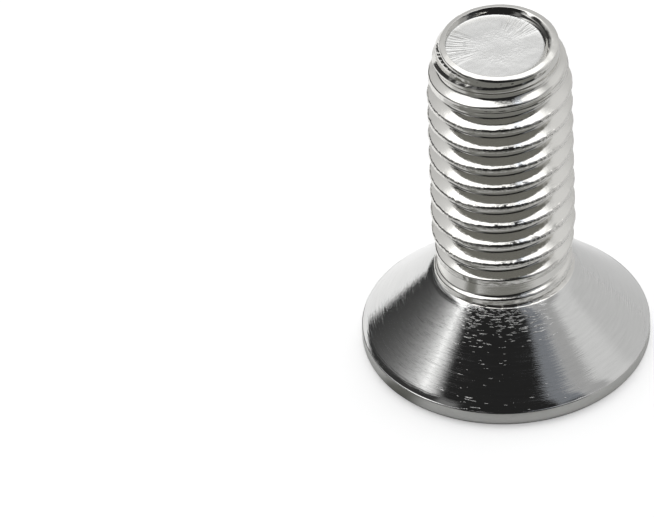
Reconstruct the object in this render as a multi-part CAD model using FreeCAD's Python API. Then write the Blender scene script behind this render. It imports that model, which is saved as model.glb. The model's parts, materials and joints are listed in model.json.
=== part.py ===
import FreeCAD, Part
import math
import os

# A countersunk machine screw with a hexagon socket and a rolled thread on the whole shank.
# It stands on its head: z = 0 is the head's flat face, the tip points along +Z,
# and the thread winds right-handed about the Z axis. Sizes are in millimetres.

os.makedirs("parts", exist_ok=True)

# Lengths along the axis
overall_length = 15.49
rim_height = 0.70
neck_length = 0.25
socket_depth = 2.45

# Head
head_diameter = 11.93
rim_edge_round = 0.28
cone_half_angle = math.radians(45.0)
neck_fillet = 0.30

# Thread, its shares and turns counted in pitches
thread_diameter = 5.97
thread_pitch = 1.0
crest_flat_share = 0.18
root_flat_share = 0.21
thread_half_angle = math.radians(30.0)
start_azimuth = math.radians(148.0)
flare_turns = 1.9
fade_turns = 1.2

# Tip: a slight chamfer, then the rolled-over end, a little askew, with its lip round a shallow hollow
chamfer_length = 1.95
chamfer_slope = 0.24
crown_radius = 2.25
crown_bevel = 0.08
crown_shift = 0.04
crown_tilt = 2.2
shoulder_slope = 0.66
dish_radius = 2.02
dish_depth = 0.29
dish_wall_slope = 0.45
dish_shift = -0.10

# Hexagon socket, open at the flat face
socket_across_flats = 4.06
socket_mouth_bevel = 0.15
socket_floor_half_angle = math.radians(70.0)

# Room the cutting solids have beyond the surface they open
clear = 0.2

# Thread form worked out from the pitch and the crest diameter
flank_spread = math.tan(thread_half_angle)
crest_radius = thread_diameter / 2
sharp_root_depth = thread_pitch * (1 - crest_flat_share) / 2 / flank_spread
root_depth = sharp_root_depth - thread_pitch * root_flat_share / 2 / flank_spread
root_radius = crest_radius - root_depth
neck_radius = crest_radius - root_depth / 2

# Stations of the outline from the flat face to the tip
head_radius = head_diameter / 2
cone_top = rim_height + (head_radius - neck_radius) / math.tan(cone_half_angle)
neck_top = cone_top + neck_length
flare_top = neck_top + flare_turns * thread_pitch
chamfer_foot = overall_length - chamfer_length
crown_level = overall_length - crown_radius * math.sin(math.radians(crown_tilt))


def point(radius, height):
    """A point of the outline in the XZ plane."""
    return FreeCAD.Vector(radius, 0, height)


def line(start, end):
    return Part.LineSegment(start, end).toShape()


def revolved(edges):
    """The solid that a closed outline of the XZ plane sweeps about the Z axis."""
    face = Part.Face(Part.Wire(edges))
    return face.revolve(FreeCAD.Vector(0, 0, 0), FreeCAD.Vector(0, 0, 1), 360)


def rounded_corner(before, corner, after, radius, parts):
    """The arc that rounds a corner of the outline, in a number of equal parts that meet smoothly."""
    back = (before - corner).normalize()
    onward = (after - corner).normalize()
    half_corner = back.getAngle(onward) / 2
    reach = radius / math.tan(half_corner)
    centre = corner + (back + onward).normalize() * (radius / math.sin(half_corner))
    start = corner + back * reach - centre
    travel = back * -radius
    turn = (math.pi - 2 * half_corner) / (2 * parts)
    stops = [
        centre + start * math.cos(turn * step) + travel * math.sin(turn * step)
        for step in range(2 * parts + 1)
    ]
    return [Part.Arc(*stops[2 * part:2 * part + 3]).toShape() for part in range(parts)]


def blank():
    """Head, neck and shank before the tip, the thread groove and the socket are cut; it ends above the tip."""
    face_centre = point(0, 0)
    rim_top = point(head_radius, rim_height)
    neck_foot = point(neck_radius, cone_top)
    neck_end = point(neck_radius, neck_top)
    flare_end = point(crest_radius, flare_top)
    chamfer_start = point(crest_radius, chamfer_foot)
    top = overall_length + clear
    chamfer_end = point(crest_radius - chamfer_slope * (top - chamfer_foot), top)
    top_centre = point(0, top)
    rim_round = rounded_corner(face_centre, point(head_radius, 0), rim_top, rim_edge_round, 2)
    fillet = rounded_corner(rim_top, neck_foot, neck_end, neck_fillet, 1)
    return revolved([
        line(face_centre, rim_round[0].firstVertex().Point),
        *rim_round,
        line(rim_round[1].lastVertex().Point, rim_top),
        line(rim_top, fillet[0].firstVertex().Point),
        *fillet,
        line(fillet[0].lastVertex().Point, neck_end),
        line(neck_end, flare_end),
        line(flare_end, chamfer_start),
        line(chamfer_start, chamfer_end),
        line(chamfer_end, top_centre),
        line(top_centre, face_centre),
    ])


def groove():
    """The helical thread groove, flat at its root and shallower towards the head until it is gone."""
    steps_per_turn = 16
    top = overall_length + thread_pitch
    bottom = neck_top
    turns = (top - bottom) / thread_pitch
    steps = math.ceil(turns * steps_per_turn)
    mouth_radius = crest_radius + clear
    faded_root = neck_radius + clear / 2
    root_half_width = thread_pitch * root_flat_share / 2

    def section(step):
        """The four corners of the groove where it has run the given number of steps from its start."""
        turn = turns * step / steps
        height = top - thread_pitch * turn
        rise_from_start = height - overall_length - thread_pitch / 2
        angle = start_azimuth - math.pi / 2 + 2 * math.pi * rise_from_start / thread_pitch
        fade = max(0.0, 1 - (turns - turn) / fade_turns) ** 2
        floor_radius = root_radius + (faded_root - root_radius) * fade
        mouth_half_width = root_half_width + (mouth_radius - floor_radius) * flank_spread
        return [
            FreeCAD.Vector(radius * math.cos(angle), radius * math.sin(angle), height + offset)
            for radius, offset in (
                (mouth_radius, -mouth_half_width),
                (floor_radius, -root_half_width),
                (floor_radius, root_half_width),
                (mouth_radius, mouth_half_width),
            )
        ]

    sections = [section(step) for step in range(steps + 1)]
    stations = [float(step) for step in range(steps + 1)]
    corner_lines = []
    for corner in range(4):
        curve = Part.BSplineCurve()
        curve.interpolate(Points=[corners[corner] for corners in sections], Parameters=stations)
        corner_lines.append(curve)

    faces = [
        Part.Face(Part.makePolygon(sections[0] + sections[0][:1])),
        Part.Face(Part.makePolygon(sections[-1] + sections[-1][:1])),
    ]
    for one, other in zip(corner_lines, corner_lines[1:] + corner_lines[:1]):
        for begin in range(0, steps, steps_per_turn // 2):
            end = min(begin + steps_per_turn // 2, steps)
            half_turns = [one.copy(), other.copy()]
            for half_turn in half_turns:
                half_turn.segment(float(begin), float(end))
            faces.append(Part.makeRuledSurface(half_turns[0].toShape(), half_turns[1].toShape()))
    shell = Part.makeShell(faces)
    shell.sewShape()
    return Part.makeSolid(shell)


def on_tip(shape):
    """The shape set from the crown's own level to its place, leaning as the rolling left it."""
    shape.rotate(FreeCAD.Vector(0, 0, 0), FreeCAD.Vector(1, 0, 0), crown_tilt)
    shape.translate(FreeCAD.Vector(crown_shift, 0, crown_level))
    return shape


def around_crown():
    """All that lies above the crown and outside its bevel and the shoulder below."""
    outside = crest_radius + clear
    above = 3 * clear
    shoulder_start = point(crown_radius + crown_bevel, -crown_bevel)
    shoulder_drop = (outside - shoulder_start.x) / shoulder_slope
    corners = [
        point(0, 0),
        point(crown_radius, 0),
        shoulder_start,
        point(outside, -crown_bevel - shoulder_drop),
        point(outside, above),
        point(0, above),
    ]
    return on_tip(revolved([line(*ends) for ends in zip(corners, corners[1:] + corners[:1])]))


def hollow():
    """The shallow hollow of the tip, off the crown's middle."""
    depth = dish_depth + clear
    wide = dish_radius + dish_wall_slope * depth
    return on_tip(Part.makeCone(dish_radius, wide, depth, FreeCAD.Vector(dish_shift, 0, -dish_depth)))


def hexagon(across_flats, height):
    """A closed hexagon outline, two of its flats facing along Y."""
    corner_radius = across_flats / 2 / math.cos(math.pi / 6)
    corners = [
        FreeCAD.Vector(corner_radius * math.cos(k * math.pi / 3), corner_radius * math.sin(k * math.pi / 3), height)
        for k in range(6)
    ]
    return Part.makePolygon(corners + corners[:1])


def socket():
    """The hexagon hole with its bevelled mouth and its pointed floor."""
    mouth_flats = socket_across_flats + 2 * socket_mouth_bevel
    floor_radius = socket_across_flats / 2
    floor_depth = floor_radius / math.tan(socket_floor_half_angle)
    entry = Part.Face(hexagon(mouth_flats, -clear)).extrude(FreeCAD.Vector(0, 0, clear))
    mouth = Part.makeLoft([hexagon(mouth_flats, 0), hexagon(socket_across_flats, socket_mouth_bevel)], True, True)
    walls = Part.Face(hexagon(socket_across_flats, 0)).extrude(FreeCAD.Vector(0, 0, socket_depth))
    floor = Part.makeCone(floor_radius, 0, floor_depth, FreeCAD.Vector(0, 0, socket_depth))
    return entry.fuse([mouth, walls, floor])


screw = blank().cut(around_crown()).cut(hollow()).cut(groove()).cut(socket())
if len(screw.Solids) != 1:
    raise ValueError("the screw is not one solid")
screw.Solids[0].exportStep("parts/screw.step")
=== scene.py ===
import json
import math

import bpy
from mathutils import Matrix, Vector, noise


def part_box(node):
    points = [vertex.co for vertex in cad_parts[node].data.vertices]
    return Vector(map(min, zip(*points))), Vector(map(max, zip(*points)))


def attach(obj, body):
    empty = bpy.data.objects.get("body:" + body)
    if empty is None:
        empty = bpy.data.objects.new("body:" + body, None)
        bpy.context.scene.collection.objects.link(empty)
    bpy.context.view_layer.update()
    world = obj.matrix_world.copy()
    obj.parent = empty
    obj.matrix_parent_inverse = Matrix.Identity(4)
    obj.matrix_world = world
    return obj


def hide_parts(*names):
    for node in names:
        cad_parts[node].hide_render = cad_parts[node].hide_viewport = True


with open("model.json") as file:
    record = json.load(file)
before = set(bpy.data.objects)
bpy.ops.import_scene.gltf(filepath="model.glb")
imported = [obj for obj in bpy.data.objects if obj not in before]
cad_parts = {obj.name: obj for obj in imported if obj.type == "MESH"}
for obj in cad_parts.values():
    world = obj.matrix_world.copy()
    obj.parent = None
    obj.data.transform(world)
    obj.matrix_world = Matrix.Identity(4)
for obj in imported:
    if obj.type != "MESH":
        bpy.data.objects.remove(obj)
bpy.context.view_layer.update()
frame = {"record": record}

MM = 0.001

# Sizes of the screw in millimetres: the outer ones come from the frame, the others are those of its solid,
# with the fine forms that only this skin has
LOW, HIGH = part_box("screw")
LENGTH = (HIGH[2] - LOW[2]) / MM
HEAD_RADIUS = min(HIGH[0], HIGH[1], -LOW[0], -LOW[1]) / MM
THREAD = next(mount for mount in frame["record"]["mounts"] if mount["name"] == "thread")
CREST_RADIUS = THREAD["dims"]["r_mm"]
PITCH = 1.0
START_AZIMUTH = math.radians(148.0)
RIM_HEIGHT = 0.70
RIM_ROUND = 0.28
RIM_EDGE_ROUND = 0.07
RIM_BEAD_TURN = math.radians(68.0)
RIM_BEAD_HOLLOW = 0.04
NECK_LENGTH = 0.25
COLLAR_RADIUS = 2.885
COLLAR_FOOT = 3.755
COLLAR_TOP = 4.15
COLLAR_SLOPE = 0.45
LEDGE_RADIUS = 2.94
FLARE_TURNS = 1.9
FADE_TURNS = 1.2
CHAMFER_LENGTH = 1.95
CHAMFER_SLOPE = 0.24
CROWN_RADIUS = 2.25
CROWN_TILT = math.radians(2.2)
CROWN_SHIFT = 0.04
LIP_RADIUS = 2.43
LIP_ROUND = 0.17
LIP_SIDE_ROUND = 0.05
LIP_BEVEL_START = 2.19
LIP_BEVEL_SLOPE = 0.345
LIP_START = 0.21
LIP_WALL_SLOPE = 0.08
LIP_FOOT_TURN = math.radians(8.0)
LIP_TOP_TURN = math.radians(62.0)
SHOULDER_SLOPE = 0.66
DISH_RADIUS = 1.98
DISH_DEPTH = 0.285
DISH_SHIFT = -0.18
DISH_FILLET = 0.03
MOUTH_RADIUS = 2.15
MOUTH_SHIFT = -0.05
HEX_FLATS = 4.06
HEX_MOUTH_BEVEL = 0.15
HEX_DEPTH = 2.45
HEX_FLOOR_RISE = math.tan(math.radians(20.0))
MOUTH_EDGE = (2.72, 0.02)
FACE_RINGS = (2.80, 3.5, 4.4)

# Thread form: a round-edged crest, flanks whose normals rise 60 degrees at the crest, and a round root
CREST_FLAT = 0.18 * PITCH
HEAD_SIDE_CREST = 0.10
HEAD_SIDE_ROUND = 0.06
TIP_SIDE_CREST = 0.034
TIP_SIDE_ROUND = 0.17
ROOT_FLAT = 0.21 * PITCH
ROOT_ROUND = 0.13
FLANK_RISE = 60.0
STEP_TOP = -0.118
STEP_WIDTH = 0.034
STEP_SHIFT = 0.13
TIP_SIDE_SAG = 3.0
HEAD_SIDE_SAG = 0.0
ROOT_RADIUS = CREST_RADIUS - (PITCH - CREST_FLAT - ROOT_FLAT) / 2 * math.tan(math.radians(FLANK_RISE))
NECK_RADIUS = (CREST_RADIUS + ROOT_RADIUS) / 2
CONE_TOP = RIM_HEIGHT + HEAD_RADIUS - NECK_RADIUS
NECK_TOP = CONE_TOP + NECK_LENGTH
FLARE_TOP = NECK_TOP + FLARE_TURNS * PITCH
CHAMFER_FOOT = LENGTH - CHAMFER_LENGTH
CROWN_LEVEL = LENGTH - CROWN_RADIUS * math.sin(CROWN_TILT)

# Widths over which two surfaces of the thread blend into each other
CHAMFER_BLEND = 0.03
SHOULDER_BLEND = 0.04
LIMIT_BLEND = 0.03
CREST_BLEND = 0.02

# The seam in the middle of each crest that the rolling left low: from how far down, over how much more
# of a drop, how deep and how wide
SEAM_FROM = 0.06
SEAM_SPAN = 0.3
SEAM_DEPTH = 0.12
SEAM_WIDTH = 0.06

# Wear of the crests: how often round and along the screw, how deep, from which strength of the noise on,
# and how far down from the crest it reaches
NICKS = (14.0, 2.5)
NICK_DEPTH = 0.022
NICK_FROM = -0.15
DENTS = (33.0, 1.7)
DENT_DEPTH = 0.06
DENT_FROM = 0.3
WORN_BAND = 0.16

# The skin's columns run from the back, round the left side, the front and the right side, to the back;
# the thread's rows stop a small gap before the rings at its two ends
COLUMNS = 200
SKIN_GAP = 0.02
ZONES = ["thread", "cone", "rim", "face", "socket", "tip"]


def azimuth(column):
    """Angle of a column from the front, growing towards +X."""
    return 2 * math.pi * column / COLUMNS - math.pi


def on_tip(x, y, level):
    """A place in the tip's own frame, which leans and sits a little off the axis."""
    return (
        x + CROWN_SHIFT,
        y * math.cos(CROWN_TILT) - level * math.sin(CROWN_TILT),
        CROWN_LEVEL + y * math.sin(CROWN_TILT) + level * math.cos(CROWN_TILT),
    )


class Skin:
    """Rings of points round the axis, joined into bands from the socket's floor to the tip's centre."""

    def __init__(self):
        self.points = []
        self.faces = []
        self.zones = []

    def add(self, place):
        """Keeps a place given in millimetres and gives its number."""
        self.points.append(tuple(value * MM for value in place))
        return len(self.points) - 1

    def point(self, angle, radius, height):
        return self.add((radius * math.sin(angle), -radius * math.cos(angle), height))

    def ring(self, radius, height):
        """A ring whose radius and height are numbers or functions of the azimuth."""
        members = []
        for column in range(COLUMNS):
            angle = azimuth(column)
            here = radius(angle) if callable(radius) else radius
            level = height(angle) if callable(height) else height
            members.append(self.point(angle, here, level))
        return members

    def tip_ring(self, profile, shift=0.0, dents=0.0):
        """A ring in the tip's own frame; its profile is a radius and a level, or a function giving them."""
        members = []
        for column in range(COLUMNS):
            angle = azimuth(column)
            radius, level = profile(angle) if callable(profile) else profile
            place = Vector((math.sin(angle), math.cos(angle), level * 3))
            dent = dents * (noise.noise(place * 4) + 0.4 * noise.noise(place * 10) - 0.4)
            here = radius + 0.5 * dent
            spot = on_tip(here * math.sin(angle) + shift, -here * math.cos(angle), level + dent)
            members.append(self.add(spot))
        return members

    def face(self, corners, zone):
        kept = [corner for i, corner in enumerate(corners) if corner != corners[i - 1]]
        if len(kept) > 2:
            self.faces.append(kept)
            self.zones.append(ZONES.index(zone))

    def band(self, below, above, zone):
        for column in range(COLUMNS):
            after = (column + 1) % COLUMNS
            self.face([below[column], below[after], above[after], above[column]], zone)

    def cap(self, ring, centre, zone, opens):
        """A fan between a ring and a centre point; opens says that the path starts at the centre."""
        for column in range(COLUMNS):
            after = (column + 1) % COLUMNS
            corners = [centre, ring[after], ring[column]] if opens else [ring[column], ring[after], centre]
            self.face(corners, zone)

    def mesh(self, name):
        mesh = bpy.data.meshes.new(name)
        mesh.from_pydata(self.points, [], self.faces)
        mesh.polygons.foreach_set("material_index", self.zones)
        mesh.polygons.foreach_set("use_smooth", [True] * len(self.faces))
        mesh.update()
        return mesh


# Thread surface

def ridge_rows(half_crest, crest_round, sag, crest_steps, flank_steps):
    """Distances along the axis from the crest line to the root line, with the ridge's radius there.

    The flank is straight, or a little hollow, with a rise that falls off by the sag, in degrees, to the root.
    """
    distance = half_crest - crest_round * math.tan(math.radians(FLANK_RISE / 2))
    rows = []
    for step in range(crest_steps + 1):
        turn = math.radians(FLANK_RISE) * step / crest_steps
        rows.append((
            distance + crest_round * math.sin(turn),
            CREST_RADIUS - crest_round * (1 - math.cos(turn)),
        ))
    distance, radius = rows[-1]
    last_rise = math.radians(FLANK_RISE - sag)
    drop = (radius - ROOT_RADIUS - ROOT_ROUND * (1 - math.cos(last_rise))) / flank_steps
    for step in range(flank_steps):
        rise = math.radians(FLANK_RISE - sag * (step + 0.5) / flank_steps)
        distance += drop / math.tan(rise)
        radius -= drop
        rows.append((distance, radius))
    for step in range(1, 5):
        turn = last_rise * (1 - step / 4)
        rows.append((
            distance + ROOT_ROUND * (math.sin(last_rise) - math.sin(turn)),
            ROOT_RADIUS + ROOT_ROUND * (1 - math.cos(turn)),
        ))
    return rows


def lip_foot(angle):
    """Height where the lip's rounded edge ends and its upright wall begins; it leans with the crown."""
    return CROWN_LEVEL - LIP_START - LIP_RADIUS * math.cos(angle) * math.sin(CROWN_TILT)


def filled(angle, height):
    """Radius to which the rolling filled the crest at a height: less over the chamfer and the shoulder."""
    chamfer = CREST_RADIUS - CHAMFER_SLOPE * (height - CHAMFER_FOOT)
    shoulder = LIP_RADIUS + CROWN_SHIFT * math.sin(angle) + SHOULDER_SLOPE * (lip_foot(angle) - height)
    return lesser(lesser(CREST_RADIUS, chamfer, CHAMFER_BLEND), shoulder, SHOULDER_BLEND)


def rolled_limit(angle, height, from_crest):
    """Radius that the ridges reach: they grow out of the neck, and near the tip each crest has a step."""
    flare = NECK_RADIUS + (CREST_RADIUS - NECK_RADIUS) * (height - NECK_TOP) / (FLARE_TOP - NECK_TOP)
    crest = height - from_crest
    flare = max(flare, COLLAR_RADIUS - COLLAR_SLOPE * max(0.0, crest - COLLAR_TOP))
    past_step = min(1.0, max(0.0, (STEP_TOP - from_crest) / STEP_WIDTH))
    step = filled(angle, crest + STEP_SHIFT * (1 - 2 * past_step))
    lip_wall = LIP_RADIUS + CROWN_SHIFT * math.sin(angle) + LIP_WALL_SLOPE * (lip_foot(angle) - height)
    return lesser(flare, max(step, lip_wall), LIMIT_BLEND)


def lesser(one, other, soften):
    """The smaller of two radii, with the corner between them rounded."""
    return (one + other - math.hypot(one - other, soften)) / 2


def wear_noise(angle, height, often_round, often_along):
    """Noise on the thread, without a seam where the azimuth starts again."""
    return noise.noise(Vector((
        math.sin(angle) * often_round,
        math.cos(angle) * often_round,
        height * often_along,
    )))


def thread_radius(angle, height, ridge, from_crest):
    """The ridge as rolled: cut off at the limit, where the metal has a seam along the middle, and worn."""
    fade = min(1.0, max(0.0, 1 - (height - NECK_TOP) / (FADE_TURNS * PITCH)))
    filling = ROOT_RADIUS + (NECK_RADIUS - ROOT_RADIUS) * fade
    limit = rolled_limit(angle, height, from_crest)
    groove = ridge - lesser(ridge - filling, 0.0, CREST_BLEND)
    radius = lesser(groove, limit + CREST_BLEND / 2, CREST_BLEND)
    if height > CHAMFER_FOOT:
        unfilled = min(1.0, max(0.0, CREST_RADIUS - SEAM_FROM - limit) / SEAM_SPAN)
        radius -= SEAM_DEPTH * unfilled * (1 - unfilled) * math.exp(-(from_crest / SEAM_WIDTH) ** 2)
    nick = wear_noise(angle, height, *NICKS)
    dent = wear_noise(angle, height, *DENTS)
    wear = NICK_DEPTH * max(0.0, nick - NICK_FROM) + DENT_DEPTH * max(0.0, dent - DENT_FROM)
    near_crest = max(0.0, 1 - (CREST_RADIUS - ridge) / WORN_BAND)
    return radius - wear * near_crest


def thread(skin, bottom, top):
    """The helical surface between two rings, its rows running along the helix."""
    head_side = ridge_rows(HEAD_SIDE_CREST, HEAD_SIDE_ROUND, HEAD_SIDE_SAG, 4, 7)
    tip_side = ridge_rows(TIP_SIDE_CREST, TIP_SIDE_ROUND, TIP_SIDE_SAG, 6, 9)
    offsets = [(-distance, ridge) for distance, ridge in reversed(head_side)] + tip_side[:-1]
    per_turn = len(offsets)
    turns = math.ceil((LENGTH - NECK_TOP) / PITCH) + 3
    crest_at_front = LENGTH - PITCH * START_AZIMUTH / (2 * math.pi)
    lowest_crest = crest_at_front - PITCH * (turns - 2)
    made = {}

    def corner(row, column):
        """The point where a row crosses a column; the row goes one turn on past the last column."""
        if column == COLUMNS:
            row += per_turn
            column = 0
        turn, member = divmod(row, per_turn)
        offset, ridge = offsets[member]
        angle = azimuth(column)
        height = lowest_crest + PITCH * (turn + angle / (2 * math.pi)) + offset
        if height <= COLLAR_FOOT + SKIN_GAP:
            return bottom[column]
        if height >= lip_foot(angle) - SKIN_GAP:
            return top[column]
        if (row, column) not in made:
            made[row, column] = skin.point(angle, thread_radius(angle, height, ridge, offset), height)
        return made[row, column]

    for row in range(turns * per_turn):
        for column in range(COLUMNS):
            corners = [
                corner(row, column),
                corner(row, column + 1),
                corner(row + 1, column + 1),
                corner(row + 1, column),
            ]
            if len(set(corners)) > 2:
                skin.face(corners, "thread")


# Head and socket

def hexagon(across_flats):
    """Radius of a hexagon as a function of the azimuth, two of its flats facing along Y."""
    def radius(angle):
        within = (angle + math.pi / 6) % (math.pi / 3) - math.pi / 6
        return across_flats / 2 / math.cos(within)
    return radius


def socket(skin):
    """From the centre of the socket's floor to its bevelled mouth; gives the last ring."""
    circle = HEX_FLATS / 2
    apex = skin.point(0.0, 0.0, HEX_DEPTH + circle * HEX_FLOOR_RISE)
    ring = skin.ring(0.15, HEX_DEPTH + (circle - 0.15) * HEX_FLOOR_RISE)
    skin.cap(ring, apex, "socket", True)
    wall = hexagon(HEX_FLATS)
    mouth = hexagon(HEX_FLATS + 2 * HEX_MOUTH_BEVEL)
    steps = []
    for share in (0.3, 0.6, 0.85, 1.0):
        steps.append((circle * share, HEX_DEPTH + circle * (1 - share) * HEX_FLOOR_RISE))
    steps += [(wall, HEX_DEPTH), (wall, HEX_DEPTH - 0.05)]
    steps += [(wall, HEX_DEPTH * share) for share in (0.75, 0.5, 0.25)]
    steps += [(wall, HEX_MOUTH_BEVEL + 0.03)]
    steps += [(hexagon(HEX_FLATS + 0.04), HEX_MOUTH_BEVEL - 0.01), (mouth, 0.04)]
    steps += [(lambda angle: mouth(angle) + 0.03, 0.022)]
    for radius, height in steps:
        after = skin.ring(radius, height)
        skin.band(ring, after, "socket")
        ring = after
    return ring


def head(skin, ring):
    """The flat face, the rim and the cone up to the neck; gives the last ring."""
    flat_edge = HEAD_RADIUS - RIM_ROUND
    steps = [(*MOUTH_EDGE, "face")]
    steps += [(radius, 0.0, "face") for radius in (*FACE_RINGS, flat_edge)]
    for step in range(1, 9):
        turn = math.pi / 2 * step / 8
        steps.append((flat_edge + RIM_ROUND * math.sin(turn), RIM_ROUND * (1 - math.cos(turn)), "rim"))
    steps.append((HEAD_RADIUS, (RIM_ROUND + RIM_HEIGHT) / 2, "rim"))
    bead_radius = HEAD_RADIUS - RIM_EDGE_ROUND * (1 - math.cos(RIM_BEAD_TURN))
    bead_rise = RIM_EDGE_ROUND * math.sin(RIM_BEAD_TURN)
    hollow_in = RIM_BEAD_HOLLOW * (math.sin(RIM_BEAD_TURN) - math.sin(math.pi / 4))
    hollow_up = RIM_BEAD_HOLLOW * (math.cos(math.pi / 4) - math.cos(RIM_BEAD_TURN))
    cone_low = bead_radius - hollow_in
    base = RIM_HEIGHT + HEAD_RADIUS - cone_low - hollow_up - bead_rise
    for step in range(7):
        turn = RIM_BEAD_TURN * step / 6
        steps.append((
            HEAD_RADIUS - RIM_EDGE_ROUND * (1 - math.cos(turn)),
            base + RIM_EDGE_ROUND * math.sin(turn),
            "rim" if step < 3 else "cone",
        ))
    steps.append((bead_radius - 0.6 * hollow_in, base + bead_rise + 0.45 * hollow_up, "cone"))
    steps.append((cone_low, RIM_HEIGHT + HEAD_RADIUS - cone_low, "cone"))
    for step in range(1, 13):
        radius = cone_low + (LEDGE_RADIUS - cone_low) * step / 12
        steps.append((radius, RIM_HEIGHT + HEAD_RADIUS - radius, "cone"))
    steps.append((COLLAR_RADIUS + 0.01, COLLAR_FOOT - 0.01, "cone"))
    for radius, height, zone in steps:
        after = skin.ring(radius, height)
        skin.band(ring, after, zone)
        ring = after
    after = skin.ring(COLLAR_RADIUS, COLLAR_FOOT)
    skin.band(ring, after, "thread")
    return after


# Tip

def tip(skin, ring):
    """From the top of the thread over the rolled lip to the centre of the shallow hollow.

    Each step is a profile with a radius and a level, a shift to the side, and how deep its dents are.
    """
    def edge(turn):
        """The lip's rounded edge at a turn from level: broad at the front, tight elsewhere."""
        def profile(angle):
            rounding = LIP_SIDE_ROUND + (LIP_ROUND - LIP_SIDE_ROUND) * max(0.0, math.cos(angle)) ** 2
            bevel_end = LIP_RADIUS - rounding * (1 - math.cos(LIP_TOP_TURN))
            top = -LIP_BEVEL_SLOPE * (bevel_end - LIP_BEVEL_START)
            radius = LIP_RADIUS - rounding * (1 - math.cos(turn))
            return radius, top + rounding * (math.sin(turn) - math.sin(LIP_TOP_TURN))
        return profile

    steps = []
    for step in range(9):
        turn = LIP_FOOT_TURN + (LIP_TOP_TURN - LIP_FOOT_TURN) * step / 8
        steps.append((edge(turn), 0.0, 0.01 * step / 8))
    for beyond_mouth, level, share, dents in (
        (0.12, -0.028, 0.2, 0.012),
        (0.06, -0.008, 0.4, 0.015),
        (0.035, 0.0, 0.6, 0.015),
        (0.018, -0.008, 0.8, 0.015),
        (0.0, -0.035, 1.0, 0.015),
    ):
        steps.append(((MOUTH_RADIUS + beyond_mouth, level), MOUTH_SHIFT * share, dents))
    for share in (0.35, 0.6, 0.8):
        radius = MOUTH_RADIUS + (DISH_RADIUS + DISH_FILLET - MOUTH_RADIUS) * share
        shift = MOUTH_SHIFT + (DISH_SHIFT - MOUTH_SHIFT) * share
        steps.append(((radius, -DISH_DEPTH * share ** 1.2), shift, 0.025))
    steps.append(((DISH_RADIUS + DISH_FILLET, -DISH_DEPTH * 0.90), DISH_SHIFT, 0.01))
    burnished = len(steps)
    steps += [
        ((DISH_RADIUS + 0.01, -DISH_DEPTH * 0.97), DISH_SHIFT, 0.0),
        ((DISH_RADIUS - DISH_FILLET, -DISH_DEPTH), DISH_SHIFT, 0.0),
    ]
    for share in (0.93, 0.8, 0.6, 0.4, 0.2):
        steps.append(((DISH_RADIUS * share, -DISH_DEPTH), DISH_SHIFT, 0.0))
    for number, (profile, shift, dents) in enumerate(steps):
        after = skin.tip_ring(profile, shift, dents)
        skin.band(ring, after, "thread" if number < burnished else "tip")
        ring = after
    middle = skin.add(on_tip(DISH_SHIFT, 0.0, -DISH_DEPTH))
    skin.cap(ring, middle, "tip", False)


# Materials

class Graph:
    """Short calls for building a material's nodes."""

    def __init__(self, tree):
        self.nodes = tree.nodes
        self.links = tree.links

    def add(self, kind, inputs=None, **settings):
        node = self.nodes.new(kind)
        for name, value in settings.items():
            setattr(node, name, value)
        for name, value in (inputs or {}).items():
            if isinstance(value, bpy.types.NodeSocket):
                self.links.new(value, node.inputs[name])
            else:
                node.inputs[name].default_value = value
        return node

    def math(self, operation, first, second=0.0, third=0.0):
        return self.add("ShaderNodeMath", {0: first, 1: second, 2: third}, operation=operation).outputs[0]

    def product(self, first, *others):
        for value in others:
            first = self.math("MULTIPLY", first, value)
        return first

    def vector(self, operation, first, second=(0.0, 0.0, 0.0)):
        return self.add("ShaderNodeVectorMath", {0: first, 1: second}, operation=operation).outputs[0]

    def combine(self, x, y, z):
        return self.add("ShaderNodeCombineXYZ", {0: x, 1: y, 2: z}).outputs[0]

    def noise(self, place, scale, detail=3.0, roughness=0.55):
        node = self.add(
            "ShaderNodeTexNoise",
            {"Vector": place, "Scale": scale, "Detail": detail, "Roughness": roughness},
        )
        return node.outputs["Fac"]

    def ramp(self, value, low, high, bottom=0.0, top=1.0):
        node = self.add(
            "ShaderNodeMapRange",
            {0: value, 1: low, 2: high, 3: bottom, 4: top},
            interpolation_type="SMOOTHSTEP",
        )
        return node.outputs[0]

    def fall(self, value, low, high):
        """1 up to the low bound, falling to 0 at the high one."""
        return self.ramp(value, low, high, 1.0, 0.0)

    def between(self, value, low, high, soft):
        """1 between two bounds, falling to 0 over the soft width round each."""
        inside = self.ramp(value, low - soft, low + soft)
        return self.product(inside, self.fall(value, high - soft, high + soft))


# Share of a colour that is left where a material is darkest
DARKEST = 0.45


def steel(name, base, roughness, marks):
    """Bright steel; its marks give a relief in millimetres, a darkening and an added roughness.

    They follow from the direction away from the axis, and from the radius and the height in millimetres.
    """
    material = bpy.data.materials.new(name)
    material.use_nodes = True
    graph = Graph(material.node_tree)
    shader = material.node_tree.nodes["Principled BSDF"]
    place = graph.add("ShaderNodeTexCoord").outputs["Object"]
    part = graph.add("ShaderNodeSeparateXYZ", {0: place})
    flat = graph.combine(part.outputs[0], part.outputs[1], 0.0)
    unit = graph.vector("NORMALIZE", flat)
    from_axis = graph.add("ShaderNodeVectorMath", {0: flat}, operation="LENGTH").outputs["Value"]
    radius = graph.math("DIVIDE", from_axis, MM)
    height = graph.math("DIVIDE", part.outputs[2], MM)
    relief, dark, rough = marks(graph, unit, radius, height)
    colour = graph.add(
        "ShaderNodeMix",
        {"Factor": dark, "A": (*base, 1.0), "B": (*[value * DARKEST for value in base], 1.0)},
        data_type="RGBA",
    )
    bump = graph.add("ShaderNodeBump", {"Height": relief, "Strength": 1.0, "Distance": MM})
    material.node_tree.links.new(colour.outputs["Result"], shader.inputs["Base Color"])
    material.node_tree.links.new(bump.outputs["Normal"], shader.inputs["Normal"])
    material.node_tree.links.new(graph.math("ADD", rough, roughness), shader.inputs["Roughness"])
    shader.inputs["Metallic"].default_value = 1.0
    return material


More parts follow.
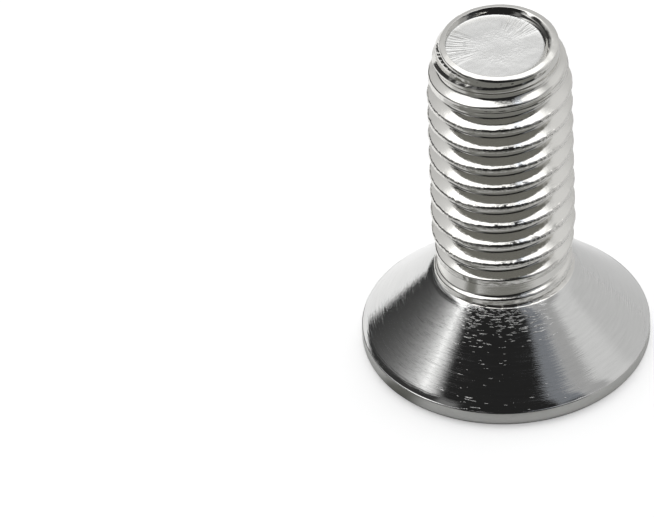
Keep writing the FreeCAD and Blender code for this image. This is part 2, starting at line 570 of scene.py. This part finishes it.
def streaks(graph, unit, across, often_round, often_across, detail=3.0):
    """Noise with no seam round the axis: how often it changes round the axis, and how often across."""
    spread = graph.vector("MULTIPLY", unit, (often_round, often_round, 0.0))
    offset = graph.combine(0.0, 0.0, graph.product(across, often_across))
    return graph.noise(graph.vector("ADD", spread, offset), 1.0, detail)


def thread_marks(graph, unit, radius, height):
    """Rolled lines and a fine grain, burrs along the crests, and painted shade that darkens the root."""
    rolled = streaks(graph, unit, height, 3.0, 9.0)
    grain = streaks(graph, unit, height, 45.0, 14.0)
    burrs = graph.ramp(streaks(graph, unit, height, 19.0, 6.0, detail=2.0), 0.45, 0.75)
    crest = graph.ramp(radius, CREST_RADIUS - 0.12, CREST_RADIUS - 0.01)
    relief = graph.math("ADD", graph.product(rolled, 0.002), graph.product(grain, 0.0016))
    relief = graph.math("MULTIPLY_ADD", graph.product(grain, crest), 0.008, relief)
    relief = graph.math("MULTIPLY_ADD", graph.product(burrs, crest), 0.012, relief)
    # painted shade: the colour darkens towards the root of the groove
    painted_root_shade = graph.ramp(radius, ROOT_RADIUS + 0.2, ROOT_RADIUS)
    rough = graph.product(streaks(graph, unit, height, 12.0, 8.0), 0.06)
    return relief, graph.product(painted_root_shade, 0.12), rough


def cone_marks(graph, unit, radius, height):
    """Turned lines and waves, with short raised dashes at the front, most of them near the neck."""
    turned = streaks(graph, unit, radius, 5.0, 26.0)
    waves = streaks(graph, unit, radius, 7.0, 6.0)
    dashes = streaks(graph, unit, radius, 9.0, 25.0)
    near_neck = graph.ramp(radius, 4.3, 3.2)
    near_rim = graph.product(graph.ramp(radius, 5.3, 5.8), 0.2)
    often = graph.product(graph.math("MAXIMUM", near_neck, near_rim), 0.14)
    towards_front = graph.add("ShaderNodeSeparateXYZ", {0: unit}).outputs[1]
    raised = graph.product(
        graph.ramp(graph.math("ADD", dashes, often), 0.68, 0.78),
        graph.ramp(towards_front, -0.8, -0.9),
    )
    relief = graph.product(turned, 0.0035)
    relief = graph.math("MULTIPLY_ADD", waves, 0.002, relief)
    relief = graph.math("MULTIPLY_ADD", raised, 0.007, relief)
    dark = graph.product(streaks(graph, unit, radius, 4.0, 12.0), 0.25)
    lines = graph.ramp(streaks(graph, unit, radius, 4.0, 40.0, detail=2.0), 0.5, 0.7)
    rough = graph.math("MULTIPLY_ADD", turned, 0.04, graph.product(lines, 0.12))
    return relief, dark, rough


def rim_marks(graph, unit, radius, height):
    """Lines round the rim."""
    turned = streaks(graph, unit, height, 8.0, 20.0)
    dark = graph.product(streaks(graph, unit, height, 20.0, 10.0), 0.25)
    return graph.product(turned, 0.006), dark, graph.product(turned, 0.1)


def face_marks(graph, unit, radius, height):
    """Rings on the flat face, with a grain."""
    turned = streaks(graph, unit, radius, 3.0, 18.0)
    grain = streaks(graph, unit, radius, 60.0, 10.0)
    relief = graph.math("ADD", graph.product(turned, 0.004), graph.product(grain, 0.004))
    return relief, graph.product(grain, 0.1), graph.product(grain, 0.15)


def socket_marks(graph, unit, radius, height):
    """Broached lines down the socket's walls, and chips."""
    broached = streaks(graph, unit, height, 30.0, 1.2)
    chips = streaks(graph, unit, height, 12.0, 6.0)
    relief = graph.math("ADD", graph.product(broached, 0.02), graph.product(chips, 0.015))
    return relief, graph.product(chips, 0.8), graph.product(chips, 0.2)


def tip_marks(graph, unit, radius, height):
    """Scraped spokes at the left and at the back right of the hollow, and a mottled middle."""
    spokes = streaks(graph, unit, radius, 19.0, 1.2, detail=2.0)
    part = graph.add("ShaderNodeSeparateXYZ", {0: unit})
    left = graph.product(part.outputs[0], -1.0)
    back_right = graph.math("MULTIPLY_ADD", part.outputs[0], 0.55, graph.product(part.outputs[1], 0.83))
    scraped = graph.product(
        graph.math("MAXIMUM", graph.ramp(left, 0.80, 0.97), graph.ramp(back_right, 0.82, 0.97)),
        graph.ramp(radius, 0.7, 1.5),
    )
    flat = graph.add("ShaderNodeVectorMath", {0: unit, "Scale": radius}, operation="SCALE").outputs[0]
    mottle = graph.noise(flat, 9.0)
    mottled = graph.product(graph.between(radius, 0.4, 1.1, 0.25), 0.016)
    relief = graph.product(spokes, graph.math("MULTIPLY_ADD", scraped, 0.055, 0.003))
    relief = graph.math("MULTIPLY_ADD", mottle, mottled, relief)
    relief = graph.math("MULTIPLY_ADD", graph.noise(flat, 1.2, 2.0), 0.03, relief)
    return relief, graph.product(spokes, 0.2, scraped), graph.product(mottle, 0.1)


def materials():
    """One finish for each zone of the skin, in the order of ZONES."""
    return [
        steel("rolled_steel", (0.80, 0.79, 0.76), 0.05, thread_marks),
        steel("turned_steel", (0.80, 0.80, 0.79), 0.05, cone_marks),
        steel("rim_steel", (0.66, 0.66, 0.64), 0.28, rim_marks),
        steel("satin_steel", (0.74, 0.74, 0.72), 0.30, face_marks),
        # painted shade: the socket's steel gets a much darker base colour than the face, for the shade inside
        # the recess
        steel("broached_steel_painted_shade", (0.45, 0.46, 0.43), 0.35, socket_marks),
        steel("sheared_steel", (0.78, 0.78, 0.77), 0.22, tip_marks),
    ]


def make_screw():
    skin = Skin()
    neck = head(skin, socket(skin))
    lip = skin.tip_ring((LIP_RADIUS, -LIP_START))
    thread(skin, neck, lip)
    tip(skin, lip)
    mesh = skin.mesh("screw_skin")
    for material in materials():
        mesh.materials.append(material)
    screw = bpy.data.objects.new("screw_skin", mesh)
    bpy.context.scene.collection.objects.link(screw)
    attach(screw, "root")
    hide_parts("screw")


# Stage: the floor, in millimetres
FLOOR_REACH = 2000.0
FLOOR_LEVEL = -0.01

# Cards on the floor that only the metal sees, in millimetres towards the back or in degrees round from the
# front: the far card fades out between two places, and the others have two edges and their softness; the near
# one is a painted shadow, the floor's shade close in front of the screw
FAR_CARD = (-19.0, -11.0)
# painted shadow: the floor's shade close in front of the screw, grey for reflections only
NEAR_PAINTED_SHADOW = (-9.6, -7.2, 0.8)
NEAR_PAINTED_SHADOW_TURN = (-45.0, 45.0, 5.0)
LEFT_CARD_TURN = (-61.0, -42.0, 6.0)
PAPER_COLOUR = (0.9, 0.9, 0.9, 1.0)
# grey of the cards and of the painted shadow in front of the screw, seen only in reflections
GREY_AND_SHADOW_COLOUR = (0.30, 0.30, 0.28, 1.0)

# Light that the floor gives off for the camera, and for the metal at the back left, where it comes in over
# millimetres towards the back and goes out towards the right
PAPER_LIFT = 0.45
MIRRORED_LIFT = 0.33
LIFT_FROM_FRONT = (-2.0, 4.0)
LIFT_TO_RIGHT = (0.0, 6.0)

# Where the cone's mirror looks, in degrees: how high at the front, and how far round until it looks level
CONE_RISE = 50.4
CONE_TURN = 140.0

# How far round the room's upright edges shift for each degree above what the cone mirrors, and up to how many
EDGE_SLANT = 0.8
SLANTED_RISE = 5.0

# Walls all round: the elevations between which they brighten, and their levels there
WALL_RISE = (20.0, 42.0)
WALL_LEVELS = (0.62, 0.76)

# Sectors of the room: from and to in degrees round from the front, the left being negative, then the softness
# of the edges and the level of light
PALE_WALL = (78.0, 102.0, 6.0, 0.72)
GREY_WALL = (55.0, 76.0, 3.0, 0.44)
BLUISH_WALL = (35.0, 55.0, 2.0, 0.24)
LOW_RIGHT = (25.0, 58.0, 3.0, 0.03)
LEFT_ROOM = (-152.0, -40.0, 3.0, 0.04)
DARK_FRONT = (-62.0, 35.0, 2.0, 0.02)
LOW_LEFT = (-56.0, -40.0, 4.0, 0.2)
DIM_UPPER_WALL = (60.0, 100.0, 6.0, 0.4)

# Elevations at which some of the sectors end or begin, the left room's above what the cone mirrors
LOW_RIGHT_TOP = (23.0, 29.0)
LOW_LEFT_TOP = (33.0, 39.0)
LEFT_ROOM_TOP = (12.0, 18.0)
DIM_UPPER_START = (38.0, 46.0)

# Bright streak that the cone mirrors on its left: it fades towards the left, and ends short towards the front
FLARE_TURN = -73.0
FLARE_END = (-67.0, -55.0)
FLARE_WIDTH = 14.0
FLARE_RISE = (-5.0, 5.0, 2.0)
FLARE_LEVEL = 1.25

# Level of the lamp overhead, and the tints of the light
OVERHEAD = 1.6
WHITE = (1.0, 1.0, 1.0, 1.0)
BLUISH = (0.92, 0.97, 1.06, 1.0)

# Where each edge of the lamp overhead begins and ends, as shares of its height; its front edge is slanted
LAMP_LEFT = (-1.15, -0.93)
LAMP_RIGHT = (0.45, 0.80)
LAMP_FRONT = (-0.245, -0.195)
LAMP_FRONT_SLANT = 0.10
LAMP_BACK = (0.30, 1.10)


def make_floor():
    """A white floor; the metal, not the camera, also sees grey cards on it in front and to the left, and a
    painted shadow close in front of the screw.
    """
    mesh = bpy.data.meshes.new("floor")
    reach = FLOOR_REACH * MM
    corners = [(-reach, -reach, 0.0), (reach, -reach, 0.0), (reach, reach, 0.0), (-reach, reach, 0.0)]
    mesh.from_pydata(corners, [], [(0, 1, 2, 3)])
    floor = bpy.data.objects.new("floor", mesh)
    floor.location.z = FLOOR_LEVEL * MM
    bpy.context.scene.collection.objects.link(floor)
    material = bpy.data.materials.new("white_paper")
    material.use_nodes = True
    graph = Graph(material.node_tree)
    shader = material.node_tree.nodes["Principled BSDF"]
    part = graph.add("ShaderNodeSeparateXYZ", {0: graph.add("ShaderNodeTexCoord").outputs["Object"]})
    seen = graph.add("ShaderNodeLightPath")
    to_front = graph.math("MULTIPLY", part.outputs[1], -1.0)
    turn = graph.math("DEGREES", graph.math("ARCTAN2", part.outputs[0], to_front))
    # painted shadow close in front of the screw, which only reflections see
    near_painted_shadow = graph.product(
        graph.between(part.outputs[1], *[edge * MM for edge in NEAR_PAINTED_SHADOW]),
        graph.between(turn, *NEAR_PAINTED_SHADOW_TURN),
    )
    grey_and_painted_shadow = graph.fall(part.outputs[1], *[edge * MM for edge in FAR_CARD])
    grey_and_painted_shadow = graph.math("MAXIMUM", grey_and_painted_shadow, graph.between(turn, *LEFT_CARD_TURN))
    grey_and_painted_shadow = graph.math("MAXIMUM", grey_and_painted_shadow, near_painted_shadow)
    grey_and_painted_shadow = graph.product(grey_and_painted_shadow, graph.math("SUBTRACT", 1.0, seen.outputs["Is Camera Ray"]))
    colour = graph.add(
        "ShaderNodeMix",
        {"Factor": grey_and_painted_shadow, "A": PAPER_COLOUR, "B": GREY_AND_SHADOW_COLOUR},
        data_type="RGBA",
    )
    mirrored = graph.product(
        graph.math("MAXIMUM", seen.outputs["Is Glossy Ray"], seen.outputs["Is Transmission Ray"]),
        graph.math("SUBTRACT", 1.0, grey_and_painted_shadow),
        graph.ramp(part.outputs[1], *[edge * MM for edge in LIFT_FROM_FRONT]),
        graph.fall(part.outputs[0], *[edge * MM for edge in LIFT_TO_RIGHT]),
        MIRRORED_LIFT,
    )
    lift = graph.math("MAXIMUM", mirrored, graph.product(seen.outputs["Is Camera Ray"], PAPER_LIFT))
    material.node_tree.links.new(colour.outputs["Result"], shader.inputs["Base Color"])
    material.node_tree.links.new(lift, shader.inputs["Emission Strength"])
    shader.inputs["Emission Color"].default_value = WHITE
    shader.inputs["Roughness"].default_value = 0.9
    shader.inputs["Specular IOR Level"].default_value = 0.0
    mesh.materials.append(material)


def make_world():
    """A soft studio: a wide lamp overhead, a dark room in front and on the left, and pale walls elsewhere."""
    world = bpy.data.worlds.new("studio")
    world.use_nodes = True
    bpy.context.scene.world = world
    graph = Graph(world.node_tree)
    background = world.node_tree.nodes["Background"]
    towards = graph.add("ShaderNodeTexCoord").outputs["Generated"]
    part = graph.add("ShaderNodeSeparateXYZ", {0: towards})
    to_front = graph.math("MULTIPLY", part.outputs[1], -1.0)
    turn = graph.math("DEGREES", graph.math("ARCTAN2", part.outputs[0], to_front))
    rise = graph.math("DEGREES", graph.math("ARCSINE", part.outputs[2]))

    def over(level, mask, value):
        """The level with a value laid over it where the mask is 1."""
        return graph.math("MULTIPLY_ADD", mask, graph.math("SUBTRACT", value, level), level)

    def sector(level, bounds, around=turn, within=1.0):
        """The level with a sector of the room laid over it, where the mask within is 1."""
        *edges, value = bounds
        return over(level, graph.product(graph.between(around, *edges), within), value)

    round_turn = graph.math("DIVIDE", turn, CONE_TURN)
    round_turn = graph.product(round_turn, round_turn)
    cone_rise = graph.math("MULTIPLY_ADD", round_turn, -CONE_RISE, CONE_RISE)
    off_cone = graph.math("SUBTRACT", rise, cone_rise)
    near_cone = graph.math("MAXIMUM", graph.math("MINIMUM", off_cone, SLANTED_RISE), -SLANTED_RISE)
    slanted = graph.math("ADD", turn, graph.product(near_cone, EDGE_SLANT))
    level = graph.ramp(rise, *WALL_RISE, *WALL_LEVELS)
    level = sector(level, PALE_WALL)
    level = sector(level, GREY_WALL, slanted)
    bluish = graph.between(slanted, *BLUISH_WALL[:3])
    level = over(level, bluish, BLUISH_WALL[3])
    level = sector(level, LOW_RIGHT, within=graph.fall(rise, *LOW_RIGHT_TOP))
    left_room = graph.product(
        graph.between(turn, *LEFT_ROOM[:3]),
        graph.fall(off_cone, *LEFT_ROOM_TOP),
    )
    level = over(level, left_room, LEFT_ROOM[3])
    level = sector(level, DARK_FRONT, slanted)
    level = sector(level, LOW_LEFT, within=graph.fall(rise, *LOW_LEFT_TOP))
    from_flare = graph.math("ABSOLUTE", graph.math("SUBTRACT", slanted, FLARE_TURN))
    flare = graph.product(
        graph.math("EXPONENT", graph.math("DIVIDE", from_flare, -FLARE_WIDTH)),
        graph.fall(slanted, *FLARE_END),
        graph.product(graph.between(off_cone, *FLARE_RISE), left_room),
    )
    level = graph.math("MULTIPLY_ADD", flare, FLARE_LEVEL, level)
    level = sector(level, DIM_UPPER_WALL, within=graph.ramp(rise, *DIM_UPPER_START))
    up = graph.math("MAXIMUM", part.outputs[2], 0.02)
    sideways = graph.math("DIVIDE", part.outputs[0], up)
    back = graph.math("DIVIDE", part.outputs[1], up)
    past_front = graph.math("MULTIPLY_ADD", sideways, -LAMP_FRONT_SLANT, back)
    lamp = graph.product(
        graph.ramp(sideways, *LAMP_LEFT),
        graph.fall(sideways, *LAMP_RIGHT),
        graph.ramp(past_front, *LAMP_FRONT),
        graph.fall(past_front, *LAMP_BACK),
    )
    level = over(level, lamp, OVERHEAD)
    seen = graph.add("ShaderNodeLightPath").outputs["Is Camera Ray"]
    level = over(level, seen, 1.0)
    tint = graph.add(
        "ShaderNodeMix",
        {"Factor": bluish, "A": WHITE, "B": BLUISH},
        data_type="RGBA",
    )
    tint = graph.add(
        "ShaderNodeMix",
        {"Factor": seen, "A": tint.outputs["Result"], "B": WHITE},
        data_type="RGBA",
    )
    world.node_tree.links.new(level, background.inputs["Strength"])
    world.node_tree.links.new(tint.outputs["Result"], background.inputs["Color"])


# Camera, placed as in the photograph: distances in millimetres, angles in degrees
CAMERA_FORWARD_DISTANCE = 311.28
CAMERA_HEIGHT = 261.58
CAMERA_HEADING = -1.3397
CAMERA_PITCH = 39.5707
CAMERA_ROLL = -2.4707
CAMERA_LENS = 540.9


def make_camera():
    heading = math.radians(CAMERA_HEADING)
    pitch = math.radians(CAMERA_PITCH)
    roll = math.radians(CAMERA_ROLL)
    forward = Vector((
        math.sin(heading) * math.cos(pitch),
        math.cos(heading) * math.cos(pitch),
        -math.sin(pitch),
    ))
    level_right = Vector((math.cos(heading), -math.sin(heading), 0.0))
    level_up = level_right.cross(forward)
    right = level_right * math.cos(roll) + level_up * math.sin(roll)
    up = level_up * math.cos(roll) - level_right * math.sin(roll)
    data = bpy.data.cameras.new("camera")
    data.lens = CAMERA_LENS
    data.clip_start = 0.01
    camera = bpy.data.objects.new("camera", data)
    bpy.context.scene.collection.objects.link(camera)
    turn = Matrix((right, up, -forward)).transposed().to_4x4()
    place = Vector((0.0, -CAMERA_FORWARD_DISTANCE, CAMERA_HEIGHT)) * MM
    camera.matrix_world = Matrix.Translation(place) @ turn
    bpy.context.scene.camera = camera


make_screw()
make_floor()
make_world()
make_camera()
bpy.context.scene.view_settings.view_transform = "Standard"
